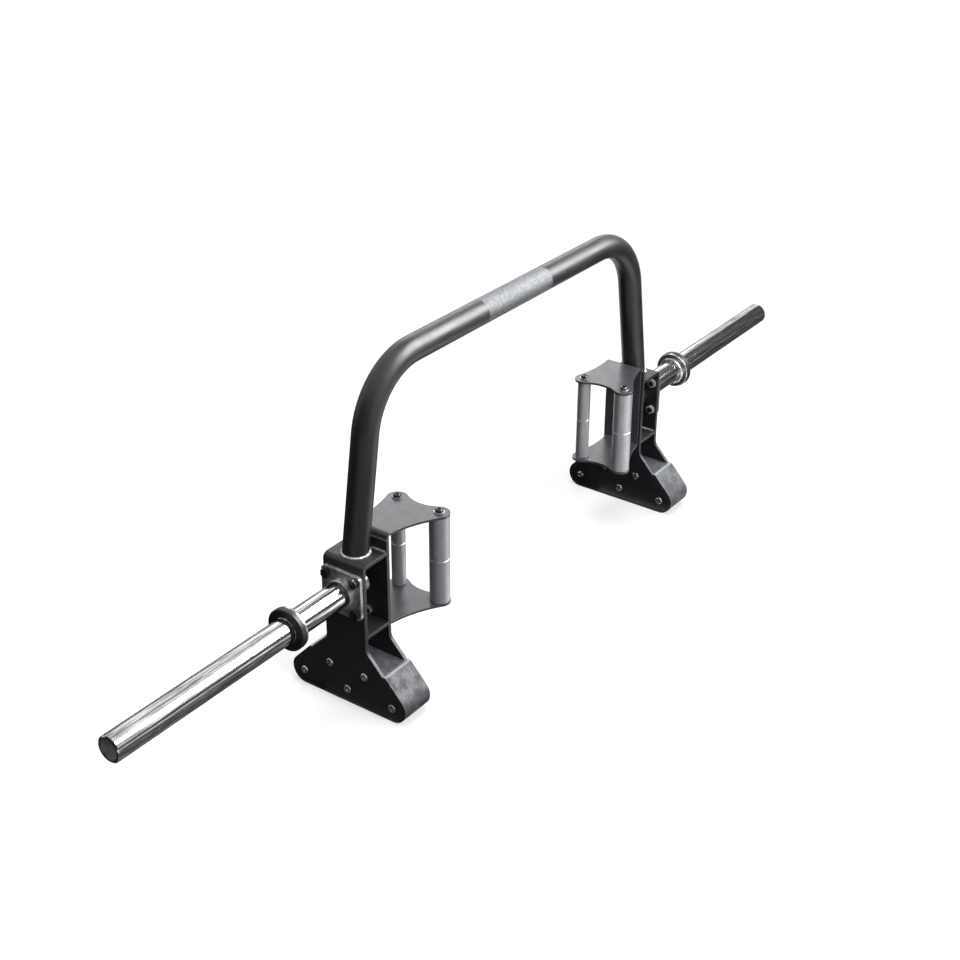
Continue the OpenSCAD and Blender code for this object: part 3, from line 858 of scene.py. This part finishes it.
# Pale plating of the flange nuts, made near white as a partly painted highlight: bright spots
# in the dark channel.
NUT = PlatedSteel(
    "bright_plated_nut", "#cccdcf", "#ecedee", roughness=0.20, spread=0.10,
    line_mm=1.6, line_depth_mm=0.02, metal=0.4,
)
# Oiled bronze of the bushes and thrust washers: a warm brown satin.
BRONZE = PlatedSteel("oiled_bearing_bronze", "#8a6a36", "#b08d52", roughness=0.30, spread=0.10)
# Blued spring steel of the snap rings: dark, with a cool satin sheen.
SPRING = PlatedSteel("blued_spring_steel", "#26282c", "#3d4046", roughness=0.28, spread=0.08)
# Black rubber of the buffer rings: matt, with grey dust on it.
RUBBER = MouldedRubber("moulded_buffer_rubber", "#121314", "#2c2d2f", roughness=0.46)
# Grey plastic of the end caps: pale, flat and slightly blotched.
CAP = MouldedRubber("moulded_grey_cap", "#9fa1a5", "#bcbec1", roughness=0.50)


class SubAssembly:
    """A group of nodes that are dressed together."""

    def finishes(self) -> dict[str, Finish]:
        """Returns the finish of each node by the node's name."""
        raise NotImplementedError

    def dress(self, nodes: dict[str, bpy.types.Object], shop: Finishes) -> None:
        """Gives the nodes their finishes.

        Args:
            nodes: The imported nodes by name.
            shop: Where the finishes are made.
        """
        for name, finish in self.finishes().items():
            slots = nodes[name].data.materials
            slots.clear()
            slots.append(shop.get(finish))
            LOG.info("dressed %s in %s", name, finish.name)


@dataclass
class FrameTube(SubAssembly):
    """The bent tube over both sides."""

    def finishes(self) -> dict[str, Finish]:
        """Returns the finish of each node by the node's name."""
        return {"frame_tube": TUBE}


@dataclass
class FootBracket(SubAssembly):
    """Plates, shelf and block of one side, and the weld round the leg that stands on them.

    Attributes:
        side: Which end of the bar.
        leg_lean: How far the leg leans inwards.
        bead: Radius of the bead at its fullest.
        ripples: Ripples in one round of the bead.
        ripple_share: How much of the radius is gone between two ripples.
        overlap: How far the bead reaches into the leg.
        steps_per_ripple: Sections that draw one ripple.
        arc_points: Points that draw the round of a section.
    """

    side: Side
    leg_lean: float = math.radians(9.5)
    bead: float = 0.0042
    ripples: int = 46
    ripple_share: float = 0.28
    overlap: float = 0.0015
    steps_per_ripple: int = 4
    arc_points: int = 7

    def finishes(self) -> dict[str, Finish]:
        """Returns the finish of each node by the node's name."""
        p = self.side.prefix
        return {
            p + "outer_plate": PLATE, p + "inner_plate": PLATE, p + "shelf": PLATE,
            p + "foot_block": BLOCK, p + "weld": WELD,
        }

    def dress(self, nodes: dict[str, bpy.types.Object], shop: Finishes) -> None:
        """Dresses the plates and lays the rippled bead.

        Args:
            nodes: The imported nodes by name.
            shop: Where the finishes are made.
        """
        super().dress(nodes, shop)
        bead = self.weld_bead()
        bead.data.materials.append(shop.get(WELD))
        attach(bead, "bar")
        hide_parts(self.side.prefix + "weld")
        LOG.info("laid %s", bead.name)

    def bead_section(self, turn: float) -> list[Vector]:
        """Draws the bead's section at one angle round the leg.

        Args:
            turn: Angle round the leg in radians.

        Returns:
            The section's points in order, measured from the middle of the leg's foot.
        """
        out = Vector((math.cos(turn), math.sin(turn), 0))
        # The leg leans inwards, so its section by the top plate is a little longer in X.
        foot = Vector((out.x * TUBE_RADIUS / math.cos(self.leg_lean), out.y * TUBE_RADIUS, 0))
        lean = Vector((-math.sin(self.leg_lean) * self.side.value, 0, math.cos(self.leg_lean)))
        ripple = (1 - math.cos(self.ripples * turn)) / 2
        size = self.bead * (1 - self.ripple_share * ripple)
        points = [foot - out * self.overlap]
        for k in range(self.arc_points):
            angle = math.pi / 2 * k / (self.arc_points - 1)
            points.append(foot + out * size * math.cos(angle) + lean * size * math.sin(angle))
        points.append(points[-1] - out * self.overlap)
        return points

    def weld_bead(self) -> bpy.types.Object:
        """Sweeps a quarter-round bead, with the ripples of a hand-laid weld, round the leg.

        Returns:
            The bead's object, in the row frame.
        """
        steps = self.ripples * self.steps_per_ripple
        mesh = bmesh.new()
        rings = []
        for i in range(steps):
            section = self.bead_section(2 * math.pi * i / steps)
            rings.append([mesh.verts.new(point) for point in section])
        for i, here in enumerate(rings):
            there = rings[(i + 1) % steps]
            for k in range(len(here)):
                after = (k + 1) % len(here)
                mesh.faces.new((here[k], there[k], there[after], here[after]))
        bmesh.ops.recalc_face_normals(mesh, faces=mesh.faces)
        for face in mesh.faces:
            face.smooth = True
        data = bpy.data.meshes.new(self.side.prefix + "weld_bead")
        mesh.to_mesh(data)
        mesh.free()
        low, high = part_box(self.side.prefix + "weld")
        data.transform(Matrix.Translation(((low.x + high.x) / 2, 0, low.z)))
        bead = bpy.data.objects.new(data.name, data)
        bpy.context.scene.collection.objects.link(bead)
        return bead


@dataclass
class HandleSet(SubAssembly):
    """Handle bracket with the thick and the thin handle of one side."""

    side: Side

    def finishes(self) -> dict[str, Finish]:
        """Returns the finish of each node by the node's name."""
        p = self.side.prefix
        return {
            p + "handle_bracket": HANDLE_PLATE, p + "thick_handle": THICK_GRIP,
            p + "thin_handle": THIN_GRIP,
        }


@dataclass
class AxleSet(SubAssembly):
    """Flange, axle and retaining rings of one side."""

    side: Side

    def finishes(self) -> dict[str, Finish]:
        """Returns the finish of each node by the node's name."""
        p = self.side.prefix
        return {
            p + "axle_flange": ZINC, p + "axle": TURNED, p + "thrust_washer": BRONZE,
            p + "retaining_washer": TURNED, p + "snap_ring": SPRING,
        }


@dataclass
class SleeveSet(SubAssembly):
    """Turning plate sleeve of one side, with its bushes, collar, buffer ring and cap."""

    side: Side

    def finishes(self) -> dict[str, Finish]:
        """Returns the finish of each node by the node's name."""
        p = self.side.prefix
        return {
            p + "sleeve": CHROME, p + "inner_bush": BRONZE, p + "outer_bush": BRONZE,
            p + "collar": COLLAR, p + "buffer_ring": RUBBER, p + "end_cap": CAP,
        }


@dataclass
class Fasteners(SubAssembly):
    """Bolts, nuts, washers and handle plugs of both sides, and the seam beads."""

    def finishes(self) -> dict[str, Finish]:
        """Returns the finish of each node by the node's name."""
        return {
            "thick_handle_plugs": TURNED, "foot_bolts": DULL_BOLT, "flange_bolts": BLACKENED,
            "flange_nuts": NUT, "bracket_bolts": BLACKENED, "bracket_nuts": ZINC,
            "handle_bolts": BLACKENED, "handle_washers": ZINC, "seam_welds": WELD,
        }


def between_corners(low: Point, high: Point) -> list[Point]:
    """Lists the corners of a flat rectangle in order.

    Args:
        low: Its lowest corner.
        high: Its highest corner, which has one coordinate the same.

    Returns:
        Its four corners.
    """
    first, second = (axis for axis in range(3) if low[axis] != high[axis])
    corners = []
    for at_first, at_second in ((low, low), (high, low), (high, high), (low, high)):
        corner = list(low)
        corner[first] = at_first[first]
        corner[second] = at_second[second]
        corners.append(tuple(corner))
    return corners


def at_height(height: float, *outline: tuple[float, float]) -> list[Point]:
    """Lays an outline, given as pairs of X and Y, flat at a height."""
    return [(x, y, height) for x, y in outline]


def stage_sheet(
    name: str, corners: Sequence[Point], material: bpy.types.Material
) -> bpy.types.Object:
    """Makes a flat four-cornered piece of the stage.

    Args:
        name: The piece's name.
        corners: Its corners in order.
        material: Its material.

    Returns:
        The new object.
    """
    data = bpy.data.meshes.new(name)
    data.from_pydata(corners, [], [(0, 1, 2, 3)])
    data.materials.append(material)
    piece = bpy.data.objects.new(name, data)
    bpy.context.scene.collection.objects.link(piece)
    return piece


@dataclass(frozen=True)
class Lamp:
    """A soft rectangular lamp.

    Attributes:
        name: The lamp's name.
        place: Its centre.
        aim: Where it points.
        size: Its width and height.
        watts: Its power.
        mirrored: Whether it shows in shiny surfaces.
        lights: Whether it lights matt surfaces.
    """

    name: str
    place: Point
    aim: Point
    size: tuple[float, float]
    watts: float
    mirrored: bool = True
    lights: bool = True

    def hang(self) -> None:
        """Adds the lamp to the scene."""
        data = bpy.data.lights.new(self.name, "AREA")
        data.shape = "RECTANGLE"
        data.size, data.size_y = self.size
        data.energy = self.watts
        lamp = bpy.data.objects.new(self.name, data)
        lamp.location = self.place
        towards = Vector(self.aim) - Vector(self.place)
        lamp.rotation_euler = towards.to_track_quat("-Z", "Y").to_euler()
        lamp.visible_glossy = self.mirrored
        lamp.visible_diffuse = self.lights
        bpy.context.scene.collection.objects.link(lamp)
        LOG.info("hung %s", self.name)


@dataclass(frozen=True)
class Card:
    """A flat card that only shows in shiny surfaces.

    Attributes:
        name: The card's name.
        corners: Its four corners in order.
        level: Its brightness, 0 for black and 1 for white.
    """

    name: str
    corners: Sequence[Point]
    level: float

    def stand(self) -> None:
        """Adds the card to the scene."""
        tree = Tree.of_material(self.name + "_card")
        glow = tree.add("Emission", {"Color": WHITE, "Strength": self.level})
        tree.add("OutputMaterial", {"Surface": glow})
        card = stage_sheet(self.name, self.corners, tree.owner)
        card.visible_camera = False
        card.visible_diffuse = False
        card.visible_shadow = False
        card.visible_transmission = False
        LOG.info("stood %s", self.name)


# The key and the top lamp light the bar and show in no mirror. The sheen lamp does the reverse:
# it only draws the long highlight on the crossbar. The back lamp does both.
LAMPS = (
    Lamp("key_lamp", (-0.6, -3.1, 2.7), (0, 0, 0.2), (1.4, 1.4), 120, mirrored=False),
    Lamp("top_lamp", (0.2, 0.2, 3.2), (0, 0, 0), (3.0, 2.0), 80, mirrored=False),
    Lamp("sheen_lamp", (1.3, -1.3, 2.05), (-0.1, 0, 0.6), (1.8, 1.9), 230, lights=False),
    Lamp("back_lamp", (3.6, 3.0, 2.4), (0, 0, 0.4), (2.4, 1.8), 50),
)

# The photograph's metal mirrors a dark room with bright gaps, and each card is one patch of it.
# The cards on the floor lie in three layers, and four of them end at a line behind the axles.
AXLE_LINE = 0.06
LAYER_1, LAYER_2, LAYER_3 = 0.003, 0.004, 0.005
CARDS = (
    Card("left_wall", between_corners((-3.5, -5, 0.02), (-3.5, 5, 3.0)), 0.03),
    Card("right_wall", between_corners((3.5, -9, 0.02), (3.5, 0.3, 2.6)), 0.10),
    Card("back_floor", between_corners((-5, AXLE_LINE, LAYER_1), (0.5, 5, LAYER_1)), 0.03),
    Card("high_strip", between_corners((0.5, 0.8, 4), (9, 1.3, 4)), 0.10),
    Card("back_strip", between_corners((-1, 4, 0.15), (9, 4, 1.1)), 0.04),
    Card(
        "left_floor",
        at_height(LAYER_2, (-1.6, -1.8), (0.3, -1.8), (-0.4, AXLE_LINE), (-1.6, AXLE_LINE)),
        0.18,
    ),
    Card("right_floor", between_corners((0.8, -1.6, LAYER_2), (3.4, AXLE_LINE, LAYER_2)), 0.08),
    Card("foot_floor", between_corners((0.02, -0.25, LAYER_3), (0.44, AXLE_LINE, LAYER_3)), 0.05),
    Card("toe_floor", between_corners((-0.8, -0.25, LAYER_3), (-0.54, 0.2, LAYER_3)), 0.10),
    Card(
        "handle_floor",
        at_height(LAYER_3, (0.3, -0.9), (0.58, -0.9), (0.58, -0.28), (0.4, -0.28)),
        2.2,
    ),
)


@dataclass
class Studio:
    """Pale floor, white surround, lamps, cards and the camera.

    Attributes:
        azimuth: Camera's angle round the bar in degrees, fitted to the photograph.
        elevation: Camera's angle over the floor in degrees.
        roll: Camera's tilt in degrees.
        distance: From the camera to the target.
        target: Point in the middle of the picture.
        focal_px: Focal length in pixels of the photograph.
        frame_px: The photograph's width in pixels.
        sensor_mm: Width of the camera's sensor.
        sight: Nearest and farthest distance that the camera shows.
        ambient: How strongly the surround lights the bar.
        floor_reach: Half the floor's width.
        floor_near: Distance from the middle where the floor starts to turn pure white.
        floor_far: Distance where it is pure white.
        floor_lit: The floor's colour in the light that it throws back.
        floor_shown: The floor's colour where it is seen.
        floor_glow: The floor's own brightness near the bar and far from it.
    """

    azimuth: float = -54.3143
    elevation: float = 28.5299
    roll: float = 0.2284
    distance: float = 3.2370
    target: Point = (-0.10295, 0.0, 0.29405)
    focal_px: float = 1612.27
    frame_px: float = 960.0
    sensor_mm: float = 36.0
    sight: tuple[float, float] = (0.05, 200.0)
    ambient: float = 0.19
    floor_reach: float = 30.0
    floor_near: float = 0.8
    floor_far: float = 2.2
    floor_lit: str = "#404040"
    floor_shown: str = "#c8c8c8"
    floor_glow: tuple[float, float] = (0.47, 1.02)

    def world(self) -> None:
        """Makes a surround that is white where it is seen or mirrored, and dim where it lights."""
        world = bpy.data.worlds.new("studio_surround")
        bpy.context.scene.world = world
        tree = Tree(world)
        level = tree.add("MapRange", {0: tree.seen(), 3: self.ambient, 4: 1.0})
        back = tree.add("Background", {"Color": WHITE, "Strength": level})
        tree.add("OutputWorld", {"Surface": back})

    def floor(self) -> None:
        """Lays a pale floor that is white round the object and keeps its shadow."""
        tree = Tree.of_material("pale_studio_floor")
        seen = tree.seen()
        place = tree.add("TexCoord", out="Object")
        reach = tree.add("VectorMath", [place], "Value", operation="LENGTH")
        away = tree.add("MapRange", [reach, self.floor_near, self.floor_far, 0, 1], **SMOOTH)
        paint = self.floor_lit
        for mask, over in ((seen, self.floor_shown), (away, BLACK)):
            paint = tree.add("Mix", {MASK: mask, UNDER: paint, OVER: over}, MIXED, **COLOURS)
        glow = tree.add("MapRange", [away, 0, 1, *self.floor_glow])
        level = tree.add("Math", [seen, glow], operation="MULTIPLY")
        light = tree.add("Emission", {"Color": WHITE, "Strength": level})
        both = tree.add("AddShader", [tree.add("BsdfDiffuse", {"Color": paint}), light])
        tree.add("OutputMaterial", {"Surface": both})
        low, high = -self.floor_reach, self.floor_reach
        stage_sheet("floor", between_corners((low, low, 0), (high, high, 0)), tree.owner)

    def camera(self) -> None:
        """Puts the camera where the photograph was taken from."""
        a, e, r = (math.radians(v) for v in (self.azimuth, self.elevation, self.roll))
        forward = Vector((-math.sin(a) * math.cos(e), math.cos(a) * math.cos(e), -math.sin(e)))
        right = Vector((math.cos(a), math.sin(a), 0))
        up = right.cross(forward)
        turned_right = right * math.cos(r) + up * math.sin(r)
        turned_up = up * math.cos(r) - right * math.sin(r)
        data = bpy.data.cameras.new("camera")
        data.sensor_fit = "HORIZONTAL"
        data.sensor_width = self.sensor_mm
        data.lens = self.focal_px / self.frame_px * self.sensor_mm
        data.clip_start, data.clip_end = self.sight
        camera = bpy.data.objects.new("camera", data)
        place = Vector(self.target) - forward * self.distance
        rotation = Matrix((turned_right, turned_up, -forward)).transposed()
        camera.matrix_world = Matrix.Translation(place) @ rotation.to_4x4()
        bpy.context.scene.collection.objects.link(camera)
        bpy.context.scene.camera = camera

    def build(self) -> None:
        """Sets up the whole studio."""
        self.world()
        self.floor()
        self.camera()
        for lamp in LAMPS:
            lamp.hang()
        for card in CARDS:
            card.stand()
        bpy.context.scene.view_settings.view_transform = "Standard"
        LOG.info("studio ready")


def clear_defaults() -> None:
    """Removes what a new Blender file holds."""
    for thing in list(bpy.data.objects):
        bpy.data.objects.remove(thing)


def main() -> None:
    """Dresses every sub-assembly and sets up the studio."""
    logging.basicConfig(level=logging.INFO, format="%(name)s: %(message)s")
    clear_defaults()
    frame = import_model()
    nodes = frame["nodes"]
    shop = Finishes()
    groups: list[SubAssembly] = [FrameTube(), Fasteners()]
    for side in Side:
        groups += [FootBracket(side), HandleSet(side), AxleSet(side), SleeveSet(side)]
    for group in groups:
        group.dress(nodes, shop)
    Studio().build()


if __name__ == "__main__":
    main()
